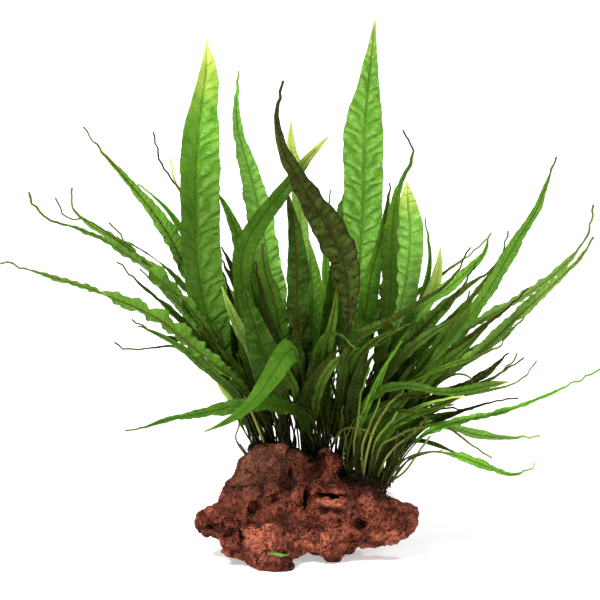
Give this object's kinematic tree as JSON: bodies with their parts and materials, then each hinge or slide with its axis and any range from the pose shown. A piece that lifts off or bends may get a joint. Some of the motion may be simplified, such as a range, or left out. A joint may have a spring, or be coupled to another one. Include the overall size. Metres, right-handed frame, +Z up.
{
  "type": "java fern on lava stone",
  "caption": "Java fern plant with long quilted fronds rising from a creeping stem that clings to a lump of porous red lava stone.",
  "frame": {"origin": "under the middle of the whole, on the surface that the stone stands on", "axes": "+Z up, +X to the right of the picture, +Y away from its camera"},
  "size_m": [0.2948, 0.1766, 0.2733],
  "materials": {
    "lava": "rough, porous",
    "rhizome": "rough, scaly",
    "root": "matte, hairy",
    "frond_green": "satin, quilted",
    "frond_bright": "satin, quilted",
    "frond_dark": "satin, quilted",
    "frond_lime": "satin, thin",
    "frond_old": "satin, veined"
  },
  "bodies": {
    "root": {"frond_01": "frond_bright", "frond_02": "frond_bright", "frond_03": "frond_old", "frond_04": "frond_green", "frond_05": "frond_green", "frond_06": "frond_green", "frond_07": "frond_lime", "frond_08": "frond_lime", "frond_09": "frond_green", "frond_10": "frond_green", "frond_11": "frond_lime", "frond_12": "frond_dark", "frond_13": "frond_green", "frond_14": "frond_green", "frond_15": "frond_green", "frond_16": "frond_dark", "frond_17": "frond_green", "frond_18": "frond_lime", "frond_19": "frond_bright", "frond_20": "frond_bright", "frond_21": "frond_lime", "frond_22": "frond_green", "frond_23": "frond_dark", "frond_24": "frond_lime", "frond_25": "frond_green", "frond_26": "frond_green", "frond_27": "frond_bright", "frond_28": "frond_dark", "frond_29": "frond_dark", "frond_30": "frond_green", "frond_31": "frond_bright", "frond_32": "frond_dark", "frond_33": "frond_bright", "frond_34": "frond_green", "frond_35": "frond_green", "frond_36": "frond_green", "frond_37": "frond_old", "frond_38": "frond_bright", "frond_39": "frond_green", "frond_40": "frond_bright", "frond_41": "frond_bright", "frond_42": "frond_bright", "frond_43": "frond_green", "frond_44": "frond_green", "frond_45": "frond_green", "frond_46": "frond_bright", "frond_47": "frond_dark", "frond_48": "frond_green", "frond_49": "frond_green", "frond_50": "frond_green", "frond_51": "frond_bright", "lava_stone": "lava", "leaf_scrap": "frond_bright", "rhizome": "rhizome", "rhizome_back_branch": "rhizome", "rhizome_front_branch": "rhizome", "root_back_left": "root", "root_back_middle": "root", "root_back_right": "root", "root_right_end": "root"}
  },
  "joints": []
}
